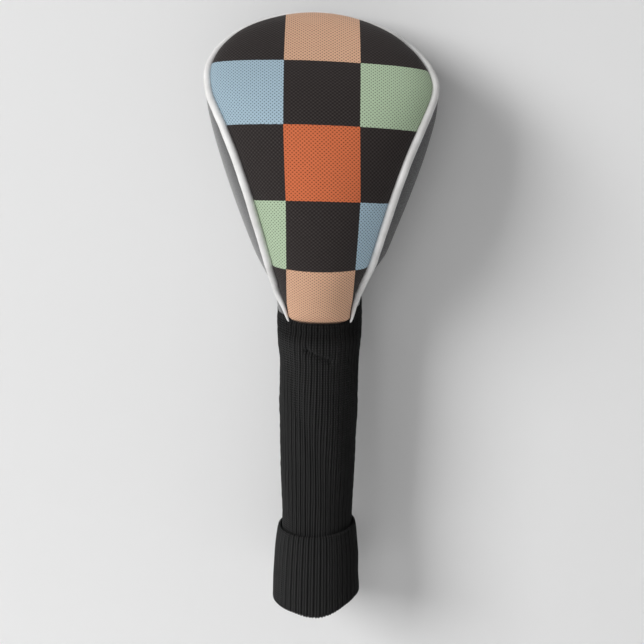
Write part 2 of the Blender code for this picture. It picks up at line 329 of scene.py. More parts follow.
# rows from the neck up; each gives its left, middle and right square
PRINT_ROWS = (
    (BLACK, PEACH, BLACK), (GREEN, BLACK, BLUE), (BLACK, ORANGE, BLACK),
    (BLUE, BLACK, GREEN), (BLACK, PEACH, BLACK), (BLACK, PEACH, BLACK),
)
HOLE_PITCH = 2.0              # mm between holes in one row


def printed_polyester():
    made, tree, shader = new_material("printed_warp_knit_polyester")
    cloth = add(tree, "UVMap", {"uv_map": "UVMap"}).outputs[0]
    fray = add(tree, "TexNoise", Vector=cloth, Scale=34.0, Detail=2.0).outputs["Color"]
    shift = add(tree, "VectorMath", {"operation": "MULTIPLY_ADD"}, i0=fray,
                i1=(0.012, 0.012, 0.0), i2=(-0.006, -0.006, 0.0)).outputs[0]
    edge = add(tree, "VectorMath", {"operation": "ADD"}, i0=cloth, i1=shift).outputs[0]
    split = add(tree, "SeparateXYZ", Vector=edge)
    column = math_of(tree, "FLOOR", math_of(tree, "ADD", split.outputs[0], 1.5))
    column = math_of(tree, "MINIMUM", math_of(tree, "MAXIMUM", column, 0.0), 2.0)
    row = math_of(tree, "FLOOR", split.outputs[1])
    row = math_of(tree, "MINIMUM", math_of(tree, "MAXIMUM", row, 0.0), len(PRINT_ROWS) - 1.0)
    count = 3 * len(PRINT_ROWS)
    number = math_of(tree, "MULTIPLY_ADD", row, 3.0, column)
    place = math_of(tree, "DIVIDE", math_of(tree, "ADD", number, 0.5), float(count))
    ramp = add(tree, "ValToRGB", Fac=place)
    ramp.color_ramp.interpolation = "CONSTANT"
    squares = [colour for line in PRINT_ROWS for colour in line]
    ramp.color_ramp.elements[0].color = linear(squares[0])
    ramp.color_ramp.elements.remove(ramp.color_ramp.elements[1])
    for index, colour in enumerate(squares[1:], start=1):
        ramp.color_ramp.elements.new(index / count).color = linear(colour)
    # the knit's lattice: two crossed waves leave a hole where both are high or both are low
    plain = add(tree, "SeparateXYZ", Vector=cloth)
    turns_u = math.tau * SQUARE_WIDE / HOLE_PITCH
    turns_v = math.tau * SQUARE_TALL / HOLE_PITCH
    wave_u = math_of(tree, "COSINE", math_of(tree, "MULTIPLY", plain.outputs[0], turns_u))
    wave_v = math_of(tree, "COSINE", math_of(tree, "MULTIPLY", plain.outputs[1], turns_v))
    lattice = math_of(tree, "MULTIPLY", wave_u, wave_v)
    fuzz = add(tree, "TexNoise", Vector=cloth, Scale=150.0, Detail=3.0).outputs[0]
    holes = add(tree, "MapRange", Value=lattice, i1=0.25, i2=1.0, i3=0.0, i4=1.0).outputs[0]
    shade = math_of(tree, "MULTIPLY_ADD", holes, -1.05, 1.20)
    shade = math_of(tree, "ADD", shade, math_of(tree, "MULTIPLY_ADD", fuzz, 0.16, -0.08))
    inked = add(tree, "VectorMath", {"operation": "SCALE"}, i0=ramp.outputs[0], Scale=shade)
    # painted and not lit: the print grows lighter to the right, against the lamp's fall-off
    side = add(tree, "SeparateXYZ", Vector=add(tree, "TexCoord").outputs["Object"]).outputs[0]
    depth = add(tree, "MapRange", Value=side, i1=-0.055, i2=0.055, i3=0.80, i4=1.26).outputs[0]
    painted_shading = add(tree, "VectorMath", {"operation": "SCALE"}, i0=inked.outputs[0], Scale=depth)
    # a faint pale fleck between the holes, which shows mostly on the black squares
    glint = add(tree, "MapRange", Value=lattice, i1=-0.2, i2=-1.0, i3=0.0, i4=0.022).outputs[0]
    pale = add(tree, "VectorMath", {"operation": "ADD"}, i0=painted_shading.outputs[0], i1=glint)
    # a dark line is painted along the lower edge, where the hem is turned under
    hem = add(tree, "MapRange", Value=plain.outputs[1], i1=0.020, i2=0.055, i3=0.08, i4=1.0)
    fibre = add(tree, "VectorMath", {"operation": "SCALE"}, i0=pale.outputs[0],
                Scale=hem.outputs[0])
    tree.links.new(fibre.outputs[0], shader.inputs["Base Color"])
    height = math_of(tree, "MULTIPLY_ADD", fuzz, 0.5, math_of(tree, "MULTIPLY", lattice, -0.6))
    bump = add(tree, "Bump", Strength=0.45, Distance=0.00022, Height=height)
    tree.links.new(bump.outputs[0], shader.inputs["Normal"])
    shader.inputs["Roughness"].default_value = 0.85
    shader.inputs["Specular IOR Level"].default_value = 0.25
    shader.inputs["Sheen Weight"].default_value = 0.05
    shader.inputs["Sheen Roughness"].default_value = 0.5
    return made


printed_cloth = printed_polyester()


# %% [markdown]
# ## Faux leather
# The gussets and the sole are polyurethane-coated cloth with an embossed pebble grain.
# The coat gives a broad soft gleam that breaks up over pebbles about 1 mm across, with
# thin creases between them that are darkened with painted shade.

# %% Faux leather material
PEBBLE = 1.1                  # mm


def faux_leather():
    made, tree, shader = new_material("embossed_pu_faux_leather")
    place = add(tree, "TexCoord").outputs["Object"]
    drift = add(tree, "TexNoise", Vector=place, Scale=700.0, Detail=2.0).outputs["Color"]
    bent = add(tree, "VectorMath", {"operation": "MULTIPLY_ADD"}, i0=drift,
               i1=(0.0005, 0.0005, 0.0005), i2=place).outputs[0]
    cells = add(tree, "TexVoronoi", {"feature": "DISTANCE_TO_EDGE"}, Vector=bent,
                Scale=1000.0 / PEBBLE)
    crease = add(tree, "MapRange", Value=cells.outputs["Distance"], i1=0.02, i2=0.22, i3=0.0, i4=1.0)
    fine = add(tree, "TexNoise", Vector=place, Scale=2600.0, Detail=3.0).outputs[0]
    cloudy = add(tree, "TexNoise", Vector=place, Scale=45.0, Detail=2.0).outputs[0]
    # painted shade: the creases between pebbles are drawn darker; the cloudy tone is the leather's own
    tone = add(tree, "ValToRGB", Fac=math_of(tree, "MULTIPLY_ADD", cloudy, 0.5,
                                             math_of(tree, "MULTIPLY", crease.outputs[0], 0.5)))
    tone.color_ramp.elements[0].color = linear("#1b1b1c")
    tone.color_ramp.elements[1].color = linear("#3e3e40")
    tree.links.new(tone.outputs[0], shader.inputs["Base Color"])
    rough = add(tree, "MapRange", Value=crease.outputs[0], i3=0.58, i4=0.36)
    tree.links.new(rough.outputs[0], shader.inputs["Roughness"])
    height = math_of(tree, "MULTIPLY_ADD", fine, 0.18, crease.outputs[0])
    bump = add(tree, "Bump", Strength=0.55, Distance=0.00016, Height=height)
    tree.links.new(bump.outputs[0], shader.inputs["Normal"])
    shader.inputs["Specular IOR Level"].default_value = 0.75
    # painted and not lit: the glossy coat fades out to the right, which darkens the right side as
    # painted shade
    where = add(tree, "SeparateXYZ", Vector=add(tree, "TexCoord").outputs["Object"])
    painted_gloss_fade = add(tree, "MapRange", Value=where.outputs[0], i1=-0.03, i2=0.03, i3=1.0, i4=0.0)
    tree.links.new(painted_gloss_fade.outputs[0], shader.inputs["Coat Weight"])
    shader.inputs["Coat Roughness"].default_value = 0.28
    return made


leather = faux_leather()


# %% [markdown]
# ## White vinyl piping
# Piping is a strip of soft vinyl folded round a cord. It is a warm white with a satin
# gleam, faintly dimpled where it is stretched over the cord, and a little grey in soft patches.

# %% Piping material
def white_vinyl():
    made, tree, shader = new_material("satin_white_vinyl")
    place = add(tree, "TexCoord").outputs["Object"]
    dimple = add(tree, "TexNoise", Vector=place, Scale=900.0, Detail=3.0).outputs[0]
    soil = add(tree, "TexNoise", Vector=place, Scale=120.0, Detail=4.0).outputs[0]
    tone = add(tree, "ValToRGB", Fac=soil)
    tone.color_ramp.elements[0].position = 0.25
    tone.color_ramp.elements[0].color = linear("#d9d8d6")
    tone.color_ramp.elements[1].position = 0.62
    tone.color_ramp.elements[1].color = linear("#ecebea")
    tree.links.new(tone.outputs[0], shader.inputs["Base Color"])
    bump = add(tree, "Bump", Strength=0.3, Distance=0.00012, Height=dimple)
    tree.links.new(bump.outputs[0], shader.inputs["Normal"])
    shader.inputs["Roughness"].default_value = 0.42
    shader.inputs["Subsurface Weight"].default_value = 0.0
    return made


vinyl = white_vinyl()


# %% [markdown]
# ## Ribbed knit
# The sock is a 2x2 rib in black acrylic. Each rib stands up as real geometry; on it lie two
# columns of V-shaped stitches 1.35 mm tall, which are too fine to model and are drawn as
# bump and shade from the UV map. Acrylic is matt and fuzzy, so it has a grey sheen where the
# light grazes it.

# %% Knit material
RIBS = 44                     # ribs round the sock
STITCH = 1.35                 # mm


def ribbed_knit():
    made, tree, shader = new_material("black_acrylic_rib_knit")
    cloth = add(tree, "UVMap", {"uv_map": "UVMap"}).outputs[0]
    plain = add(tree, "SeparateXYZ", Vector=cloth)
    wale = math_of(tree, "MULTIPLY", plain.outputs[0], 2.0)
    slant = math_of(tree, "PINGPONG", wale, 0.5)
    course = math_of(tree, "ADD", plain.outputs[1], math_of(tree, "MULTIPLY", slant, 0.9))
    loop = math_of(tree, "COSINE", math_of(tree, "MULTIPLY", course, math.tau))
    crest = math_of(tree, "COSINE", math_of(tree, "MULTIPLY", wale, math.tau))
    rise = math_of(tree, "COSINE", math_of(tree, "MULTIPLY_ADD", plain.outputs[0], math.tau,
                                           -math.pi / 2))
    fuzz = add(tree, "TexNoise", Vector=cloth, Scale=5.0, Detail=4.0).outputs[0]
    # a small pit sits in the middle of each column, where two loops meet; it dips in the bump and is
    # darkened with painted shade
    pit = math_of(tree, "MULTIPLY", math_of(tree, "MAXIMUM", crest, 0.0),
                  math_of(tree, "MINIMUM", loop, 0.0))
    height = math_of(tree, "MULTIPLY_ADD", pit, 1.7, math_of(tree, "MULTIPLY", crest, 0.4))
    height = math_of(tree, "MULTIPLY_ADD", rise, 0.2, height)
    height = math_of(tree, "MULTIPLY_ADD", fuzz, 0.5, height)
    light = add(tree, "MapRange", Value=height, i1=-1.0, i2=1.1, i3=0.0, i4=1.0)
    tone = add(tree, "ValToRGB", Fac=light.outputs[0])
    tone.color_ramp.elements[0].color = linear("#010101")
    tone.color_ramp.elements[1].color = linear("#393939")
    # painted and not lit: the knit grows darker to the right, and under the hem
    where = add(tree, "SeparateXYZ", Vector=add(tree, "TexCoord").outputs["Object"])
    aside = add(tree, "MapRange", Value=where.outputs[0], i1=-0.022, i2=0.022, i3=1.16, i4=0.66)
    hem_painted_shade = add(tree, "MapRange", Value=where.outputs[2], i1=0.1575, i2=0.1635, i3=1.0, i4=0.5)
    shade = math_of(tree, "MULTIPLY", aside.outputs[0], hem_painted_shade.outputs[0])
    painted_shading = add(tree, "VectorMath", {"operation": "SCALE"}, i0=tone.outputs[0], Scale=shade)
    tree.links.new(painted_shading.outputs[0], shader.inputs["Base Color"])
    bump = add(tree, "Bump", Strength=0.9, Distance=0.00035, Height=height)
    tree.links.new(bump.outputs[0], shader.inputs["Normal"])
    shader.inputs["Roughness"].default_value = 0.92
    shader.inputs["Specular IOR Level"].default_value = 0.2
    shader.inputs["Sheen Weight"].default_value = 0.12
    shader.inputs["Sheen Roughness"].default_value = 0.4
    shader.inputs["Sheen Tint"].default_value = linear("#8c8c8e")
    return made


knit = ribbed_knit()


# %% [markdown]
# ## The hidden cloths
# Inside are an open-cell foam, a brushed fleece that touches the club, a woven tape and a
# knitted elastic. They show only from below, through the mouth of the sock, so they share
# one plain recipe: a base tone, a cloudy second tone and a fine fuzz of their own size.

# %% Foam, fleece, tape, elastic and cord
def soft_stuff(name, dark, light, grain, depth):
    """Matt fibrous material; grain is the size of its fuzz in millimetres."""
    made, tree, shader = new_material(name)
    place = add(tree, "TexCoord").outputs["Object"]
    fuzz = add(tree, "TexNoise", Vector=place, Scale=1000.0 / grain, Detail=5.0).outputs[0]
    tone = add(tree, "ValToRGB", Fac=fuzz)
    tone.color_ramp.elements[0].position = 0.3
    tone.color_ramp.elements[0].color = linear(dark)
    tone.color_ramp.elements[1].position = 0.7
    tone.color_ramp.elements[1].color = linear(light)
    tree.links.new(tone.outputs[0], shader.inputs["Base Color"])
    bump = add(tree, "Bump", Strength=0.7, Distance=depth * MM, Height=fuzz)
    tree.links.new(bump.outputs[0], shader.inputs["Normal"])
    shader.inputs["Roughness"].default_value = 0.95
    shader.inputs["Specular IOR Level"].default_value = 0.2
    return made


foam = soft_stuff("open_cell_pu_foam", "#b9b6ab", "#dedbd0", 0.9, 0.25)
fleece = soft_stuff("brushed_polyester_fleece", "#1c1c1f", "#3c3c40", 1.6, 0.5)
tape = soft_stuff("woven_cotton_tape", "#131315", "#2a2a2d", 0.5, 0.1)
elastic = soft_stuff("knitted_elastic", "#8f8f8a", "#b9b9b3", 0.6, 0.15)
cotton = soft_stuff("twisted_cotton_cord", "#a8a294", "#cfcabc", 0.5, 0.2)


# %% [markdown]
# ## The crown panel
# The crown is the printed piece in front. Its cut edge follows the piping seam and the
# cloth runs over the top to the piping behind. The cloth's map is worked out from lengths
# along the cloth, and the printed squares then lie as they would on a cut piece.

# %% Where the print's lines lie on the crown
line_heights = np.array((171.0, 204.6, 243.7, 281.4, 311.0))      # at the middle of the front
# height, then where the middle square's left and right edges lie across
COLUMN_EDGES = np.array((
    (171.0, -17.7, 16.8), (206.0, -17.6, 18.3), (243.7, -17.9, 19.8), (281.4, -19.5, 18.9),
    (311.0, -20.0, 19.0), (333.0, -20.0, 18.5),
))
section_rows = section_at(np.linspace(0, CROWN_LENGTH, 2400))
rows_level = np.linspace(0, CROWN_LENGTH, 2400)
line_levels = np.interp(line_heights, section_rows[:, 0], rows_level)
TOP_LEVEL = float(np.interp(325.0, section_rows[:, 0], rows_level))
TOP_DEPTH = -9.5


CORNER_ROUND = 3.4            # mm that the hem rises in the crown's two lower corners


def crown_place(u, v):
    corner = np.clip((np.abs(2 * u - 1) - 0.55) / 0.45, 0, 1) ** 2.2 * CORNER_ROUND
    level = corner * (1 - v) ** 8 + v * CROWN_LENGTH
    half = math.pi / 2 + seam_angle(level, seam_depth)
    return hood_point(level, FRONT + (2 * u - 1) * half)


def crown_cloth(u, v):
    """Squares across from the middle line, and rows up from the neck."""
    woven = np.empty((len(u), 2))
    points = crown_place(u, v)
    for step in np.unique(np.round(v, 6)):
        row = np.flatnonzero(np.abs(v - step) < 1e-5)
        row = row[np.argsort(u[row])]
        x, y, z = points[row].T
        height = z[len(row) // 2]
        arc = np.concatenate(([0], np.cumsum(np.hypot(np.diff(x), np.diff(y)))))
        left, right = (np.interp(height, COLUMN_EDGES[:, 0], COLUMN_EDGES[:, i]) for i in (1, 2))
        ahead = slice(x.argmin(), x.argmax() + 1)
        start, end = np.interp((left, right), x[ahead], arc[ahead])
        across = (arc - start) / max(end - start, 0.8 * (right - left)) - 0.5
        flat_across = (x - left) / (right - left) - 0.5
        over = np.clip((height - 316) / 12, 0, 1)
        woven[row, 0] = (1 - over) * across + over * flat_across
        # the rows run lower where the panel turns back, and a little lower on the right
        fall = np.interp(height, (206, 240), (0, 0.21))
        tilt = np.interp(height, (206, 243.7, 281.4), (0.005, 0.010, 0.020))
        level = np.interp(z + fall * (y - y.min()) + tilt * x, section_rows[:, 0], rows_level)
        top_level = TOP_LEVEL + (y - TOP_DEPTH) * 1.05
        level = (1 - over) * level + over * top_level
        beyond = line_levels[-1] + SQUARE_TALL * np.arange(1, 4)
        woven[row, 1] = np.interp(level, np.concatenate((line_levels, beyond)), np.arange(8.0))
    return woven


FACE_CLOTH = 1.0              # thickness of the printed cloth and of the faux leather, in mm
crown_panel = tufted(laid_grid("crown_panel_cloth", 150, 170, crown_place, crown_cloth))
thicken(crown_panel, FACE_CLOTH)
crown_panel.data.materials.append(printed_cloth)
print("crown panel:", len(crown_panel.data.vertices), "vertices")


# %% [markdown]
# ## Gussets and sole
# Two long narrow gussets give the hood its depth and end in a point high on each side. The
# sole panel closes the back. They are cut from the same faux leather and meet the crown
# at the piping. The grain comes from the material; the dips at the seams are geometry.

# %% Gussets and sole
JOIN_LEVEL = float(np.interp(JOIN, section_rows[:, 0], rows_level))
CROSSING_LEVEL = float(np.interp(CROSSING, section_rows[:, 0], rows_level))


GUSSET_FOOT = {-1: 174.5, 1: 179.0}   # heights at which the gussets leave the knit


def gusset_place(side):
    foot = float(np.interp(GUSSET_FOOT[side], section_rows[:, 0], rows_level))

    def place(u, v):
        level = foot + v * (JOIN_LEVEL - foot)
        ahead, behind = seam_angle(level, seam_depth), seam_angle(level, sole_depth)
        if side < 0:
            ahead, behind = math.pi - behind, math.pi - ahead
        return hood_point(level, ahead + u * (behind - ahead))

    return place


def sole_place(u, v):
    level = v * CROSSING_LEVEL
    edge = np.where(level < JOIN_LEVEL, seam_angle(level, sole_depth), seam_angle(level, seam_depth))
    return hood_point(level, edge + u * (math.pi - 2 * edge))


def plain_cloth(u, v):
    return np.stack((u, v), axis=1)


gussets = {}
for side, word in ((-1, "left"), (1, "right")):
    gusset = tufted(laid_grid(f"gusset_{word}_leather", 36, 130, gusset_place(side), plain_cloth))
    thicken(gusset, FACE_CLOTH)
    gusset.data.materials.append(leather)
    gussets[word] = gusset
sole_panel = tufted(laid_grid("sole_panel_leather", 100, 150, sole_place, plain_cloth))
thicken(sole_panel, FACE_CLOTH)
sole_panel.data.materials.append(leather)


# %% [markdown]
# ## Foam and lining
# Under each panel lies a pad of foam and then a fleece lining, cut to the same outline. They
# are laid by the same functions, only deeper, and stop short of the neck.

# %% Foam and lining under each panel
FOAM_DEPTH, FOAM_THICK = 1.35, 3.0
LINING_DEPTH, LINING_THICK = 4.7, 1.0
NECK_MARGIN = 0.035           # share of the panel's height left bare at the neck


def short_of_neck(place):
    return lambda u, v: place(0.004 + 0.992 * u, NECK_MARGIN + (0.995 - NECK_MARGIN) * v)


layers = {}
for word, place in (("crown", crown_place), ("sole", sole_place),
                    ("gusset_left", gusset_place(-1)), ("gusset_right", gusset_place(1))):
    across = 18 if word.startswith("gusset") else 60
    for layer, depth, thickness, stuff in (
            ("foam", FOAM_DEPTH, FOAM_THICK, foam), ("lining", LINING_DEPTH, LINING_THICK, fleece)):
        pad = tufted(laid_grid(f"{word}_{layer}_pad", across, 70, short_of_neck(place), plain_cloth),
                     sink=depth, dip=0.3)
        thicken(pad, thickness)
        pad.data.materials.append(stuff)
        layers[f"{word}_{layer}"] = pad
print("layers under the panels:", len(layers))


# %% [markdown]
# ## The piping
# The piping starts at the neck on one side, runs up the seam and over the top, and comes
# down the other side. It is a vinyl strip round a twisted cord. Both are drawn by the same
# sweep, a grid wrapped round the seam line, and the vinyl gets its own wall.

# %% Piping swept along the seam
WRAP_WALL = 0.5
# height, radius of the piping, and how far its middle stands off the hood
PIPING = np.array((
    (171.0, 0.7, 0.0), (178.0, 1.0, 0.2), (190.0, 1.3, 0.5), (206.0, 1.55, 0.7), (235.0, 1.75, 0.8),
    (275.0, 1.7, 0.6), (300.0, 1.5, 0.2), (318.0, 1.3, -0.2), (328.0, 1.2, -0.4), (333.0, 1.1, -0.5),
))
TIP_LENGTH = 13.0             # mm over which each end runs out to a point


def piping_path(count=900):
    """Middle line of the piping, with two directions square to it, in millimetres."""
    levels = np.linspace(float(np.interp(171.2, section_rows[:, 0], rows_level)), CROSSING_LEVEL, 1500)
    angles = seam_angle(levels, seam_depth)
    levels, angles = (np.concatenate(pair) for pair in (
        (levels, levels[-2::-1]), (angles, math.pi - angles[-2::-1])))
    points = hood_point(levels, angles)
    out = np.cross(hood_point(levels, angles + 0.01) - hood_point(levels, angles - 0.01),
                   hood_point(levels + 0.05, angles) - hood_point(np.maximum(levels - 0.05, 0), angles))
    out /= np.linalg.norm(out, axis=1)[:, None]
    lengths = np.concatenate(([0], np.cumsum(np.linalg.norm(np.diff(points, axis=0), axis=1))))
    even = np.linspace(0, lengths[-1], count)
    points = np.stack([np.interp(even, lengths, points[:, i]) for i in range(3)], axis=1)
    out = np.stack([np.interp(even, lengths, out[:, i]) for i in range(3)], axis=1)
    ahead = np.gradient(points, axis=0)
    ahead /= np.linalg.norm(ahead, axis=1)[:, None]
    out -= ahead * (out * ahead).sum(axis=1)[:, None]
    out /= np.linalg.norm(out, axis=1)[:, None]
    end = np.clip(np.minimum(even, lengths[-1] - even) / TIP_LENGTH, 0, 1)
    return points, out, np.cross(ahead, out), end, even


path, path_out, path_side, path_end, path_run = piping_path()


def swept(share, twist=0.0, strands=0.0):
    """Place function of a round thing along the piping seam; share is of the piping's radius."""
    def place(u, v):
        at = np.clip(np.round(v * (len(path) - 1)).astype(int), 0, len(path) - 1)
        turn = -math.tau * u
        end = path_end[at] ** 0.8
        radius, rise = (np.interp(path[at, 2], PIPING[:, 0], PIPING[:, i]) for i in (1, 2))
        wide = share * radius * end * (1 + strands * np.cos(3 * turn + path_run[at] * twist))
        middle = path[at] + path_out[at] * rise[:, None]
        return (middle + path_out[at] * (wide * np.cos(turn))[:, None]
                + path_side[at] * (wide * np.sin(turn))[:, None])

    return place


def piping_cloth(u, v):
    return np.stack((u * 12, v * path_run[-1]), axis=1)


piping = laid_grid("piping_vinyl_wrap", 24, len(path) - 1, swept(1.0), piping_cloth)
places, normals = mesh_arrays(piping)
dents = np.array([noise.noise(Vector(spot) * 190) * 0.10 + noise.noise(Vector(spot) * 620) * 0.035
                  for spot in places])
move_vertices(piping, places + normals * (dents * MM)[:, None])
thicken(piping, WRAP_WALL)
piping.data.materials.append(vinyl)
filler = laid_grid("piping_filler_cord", 24, len(path) - 1,
                   swept(0.6, twist=1.1, strands=0.10), piping_cloth)
filler.data.materials.append(cotton)
print("piping length in mm:", round(float(path_run[-1])))


# %% [markdown]
# ## The ribbed sock
# The sock is knitted as one tube. Its ribs stand just under a millimetre proud and wander a
# little, and the tube creases under the hood where it bends in the hand. It is made here in
# three lengths that meet edge to edge, because it bends at two places and gathers at a third.
# The lowest one ends inside the cuff, so that no gap shows there when the cuff is pushed up.

# %% Shape of the knitted tube
SOCK = np.array((             # height and radius in millimetres
    (44.0, 19.5), (52.0, 19.6), (61.0, 19.8), (70.0, 20.2), (93.0, 20.8), (118.0, 21.5),
    (135.0, 21.6), (145.0, 21.5), (150.0, 21.9), (157.0, 22.6), (164.0, 22.9), (169.0, 23.0),
    (176.0, 23.0), (182.0, 22.6),
))
NECK_GROOVE = (166.4, 3.4, 1.3)   # height, half width and depth of the hollow under the hem
sock_radius = smooth_curve(SOCK[:, 0], SOCK[:, 1:])
RIB_HEIGHT = 0.90             # mm from groove to rib
KNIT_WALL = 1.5
COLUMNS_PER_RIB = 14
CREASE_FROM, CREASE_TO = (-7.2, 156.2), (6.6, 150.3)   # across and height, in mm


def rib(turn, height):
    """0 in a groove to 1 on a rib of two columns, for arrays of turns and heights in mm."""
    wander = 0.10 * np.sin(turn * math.tau * 3 + height / 17) + 0.07 * np.sin(
        turn * math.tau * 7 + height / 9 + 1.3)
    broad = 0.5 + 0.5 * np.cos(math.tau * (turn * RIBS + wander - 0.25))
    narrow = 0.5 + 0.5 * np.cos(2 * math.tau * (turn * RIBS + wander))
    return 0.3 * broad ** 0.6 + 0.7 * narrow


def uneven(turn, height, size, seed):
    """Smooth unevenness between -1 and 1 on a tube; size is its length in millimetres."""
    x, y = 21 * np.cos(turn * math.tau), 21 * np.sin(turn * math.tau)
    return np.array([noise.noise(Vector((a, b, c)) / size + Vector((seed, seed, seed)))
                     for a, b, c in zip(x, y, height)])


def crease(x, y, height):
    """Depth in millimetres of the slanting fold in the front of the neck, under a small swell."""
    run = np.array(CREASE_TO) - CREASE_FROM
    share = np.clip(((x - CREASE_FROM[0]) * run[0] + (height - CREASE_FROM[1]) * run[1])
                    / (run @ run), 0, 1)
    off = np.hypot(x - CREASE_FROM[0] - share * run[0], height - CREASE_FROM[1] - share * run[1])
    above = (run[0] * (height - CREASE_FROM[1]) - run[1] * (x - CREASE_FROM[0])) / math.hypot(*run)
    swell = np.exp(-(((above - 2.3) / 1.8) ** 2)) * np.sin(math.pi * share)
    return (2.5 * np.exp(-((off / 1.3) ** 2)) - 0.9 * swell) * (y < 0)


def sock_rows(low, high):
    return round((high - low) / 0.8)


def sock_level(low, high, v):
    """Height share, and 1 on the inner face: up the outer face, down the inner one and round."""
    rows = sock_rows(low, high)
    step = np.round(v * (2 * rows + 2))
    level = np.where(step <= rows, step, np.clip(2 * rows + 1 - step, 0, rows)) / rows
    return level, ((step > rows) & (step < 2 * rows + 2)).astype(float)


def sock_place(low, high):
    def place(u, v):
        level, inner = sock_level(low, high, v)
        turn = u + 0.25
        height = low + level * (high - low)
        angle = turn * math.tau
        size = sock_radius(height)[:, 0]
        proud = RIB_HEIGHT * np.clip((173.0 - height) / 3.0, 0.5, 1)
        ribbed = proud * (rib(turn, height) - 0.6)
        ribbed += 0.35 * uneven(turn, height, 13, 4) + 0.2 * uneven(turn, height * 2.2, 7, 9)
        size = size + np.where(inner > 0, -KNIT_WALL, ribbed)
        middle, reach, sunk = NECK_GROOVE
        ahead = np.clip(-np.sin(angle), 0, 1)
        sunk = sunk * np.where(inner > 0, 0.7, 1.0)
        size = size - sunk * ahead * np.exp(-(((height - middle) / reach) ** 2))
        tucked = np.clip((height - 169.0) / 2.5, 0, 1)
        size = size - 2.6 * tucked * np.sin(angle) ** 2
        size = size - crease(size * np.cos(angle), np.sin(angle), height)
        return np.stack((size * np.cos(angle), size * np.sin(angle), height), axis=1)

    return place


def sock_cloth(low, high):
    return lambda u, v: np.stack(
        (u * RIBS, (low + sock_level(low, high, v)[0] * (high - low)) / STITCH), axis=1)


SOCK_TOP, UPPER_SPLIT, LOWER_SPLIT, SOCK_FOOT = 181.5, 132.0, 96.0, 46.3
sock_pieces = {}
for name, low, high in (("sock_neck_knit", UPPER_SPLIT, SOCK_TOP),
                        ("sock_middle_knit", LOWER_SPLIT, UPPER_SPLIT - 0.02),
                        ("sock_lower_knit", SOCK_FOOT, LOWER_SPLIT - 0.02)):
    tube = laid_grid(name, RIBS * COLUMNS_PER_RIB, 2 * sock_rows(low, high) + 2,
                     sock_place(low, high), sock_cloth(low, high))
    tube.data.set_sharp_from_angle(angle=math.radians(70))
    tube.data.materials.append(knit)
    sock_pieces[name] = tube
print("sock lengths:", {name: len(tube.data.vertices) for name, tube in sock_pieces.items()})


# %% [markdown]
# ## The cuff
# The lower end of the tube is folded outward and up, which doubles the knit and gives the
# cuff a soft thick rim at both edges. One closed outline, from the inside of the inner layer
# round the fold to the rim and back down between the layers, is turned round the axis.

# %% Cuff outline and ribs
CUFF = np.array((             # radius and height in millimetres, round the doubled knit
    (18.4, 45.9), (18.4, 40.0), (18.5, 20.0), (18.8, 7.0), (19.6, 1.6), (21.2, 0.1), (23.4, 0.0),
    (24.3, 0.9), (24.6, 4.5), (24.4, 13.0), (23.9, 26.0), (23.4, 36.0), (22.9, 42.0),
    (22.5, 45.5), (21.9, 49.0), (21.3, 50.9), (20.8, 51.0), (20.5, 48.5), (21.0, 38.0), (21.6, 25.0),
    (21.9, 10.0), (21.7, 5.0), (21.2, 3.6), (20.7, 5.0), (20.3, 10.0), (20.0, 30.0), (19.6, 41.0),
    (19.5, 45.2), (19.0, 46.1), (18.4, 45.9),
))
cuff_steps = np.concatenate(([0.0], np.cumsum(np.hypot(*np.diff(CUFF, axis=0).T))))
cuff_curve = smooth_curve(cuff_steps, CUFF)
RIM_STEP, FOLD_STEP = cuff_steps[15], cuff_steps[5]
BACK_STEP = cuff_steps[22]    # the fold's inner turn, where the outer layer meets the inner one
RIM_DROP = np.array((         # turn from the right side, and how far the rim has slid down, in mm
    (0.0, 0.2), (0.25, 1.2), (0.5, 3.4), (0.62, 3.2), (0.75, 2.6), (0.88, 1.2), (1.0, 0.2),
))
HEM_RISE = np.array((         # turn from the right side, and how far the hem has ridden up, in mm
    (0.0, 7.6), (0.12, 7.0), (0.25, 5.0), (0.4, 3.2), (0.5, 2.4), (0.58, 2.3), (0.66, 1.7),
    (0.72, 0.4), (0.77, 0.2), (0.81, 1.6), (0.87, 5.2), (0.93, 7.2), (1.0, 7.6),
))


def cuff_place(u, v):
    step = v * cuff_steps[-1]
    turn = u + 0.25
    angle = turn * math.tau
    size, height = cuff_curve(step).T
    ahead = cuff_curve(step + 0.2) - cuff_curve(step - 0.2)
    ahead /= np.maximum(np.linalg.norm(ahead, axis=1), 1e-9)[:, None]
    outer = np.clip((step - FOLD_STEP + 5) / 4, 0, 1) * np.clip((RIM_STEP + 3 - step) / 3, 0, 1)
    swell = outer * (RIB_HEIGHT * (rib(turn, np.full_like(height, 53.0)) - 0.6)
                     + 0.30 * uneven(turn, height, 12, 21))
    size, height = size + swell * ahead[:, 1], height - swell * ahead[:, 0]
    low = np.clip(1 - height / 30, 0, 1) ** 2
    height = height + low * np.interp(turn % 1, HEM_RISE[:, 0], HEM_RISE[:, 1])
    high = np.clip((height - 10) / 41, 0, 1) ** 2 * ((step > FOLD_STEP) & (step < BACK_STEP))
    height = height - high * np.interp(turn % 1, RIM_DROP[:, 0], RIM_DROP[:, 1])
    return np.stack((size * np.cos(angle), size * np.sin(angle), height), axis=1)


def cuff_cloth(u, v):
    return np.stack((u * RIBS, v * cuff_steps[-1] / STITCH), axis=1)


cuff_knit = laid_grid("cuff_turned_up_knit", RIBS * COLUMNS_PER_RIB, 156, cuff_place, cuff_cloth)
cuff_knit.data.materials.append(knit)
print("cuff:", len(cuff_knit.data.vertices), "vertices")


# %% [markdown]
# ## Casing and elastic
# Inside the neck a tape casing is sewn to the sock and holds a flat elastic, which draws the
# neck in behind the club head. Both are narrow bands, gathered into small waves.

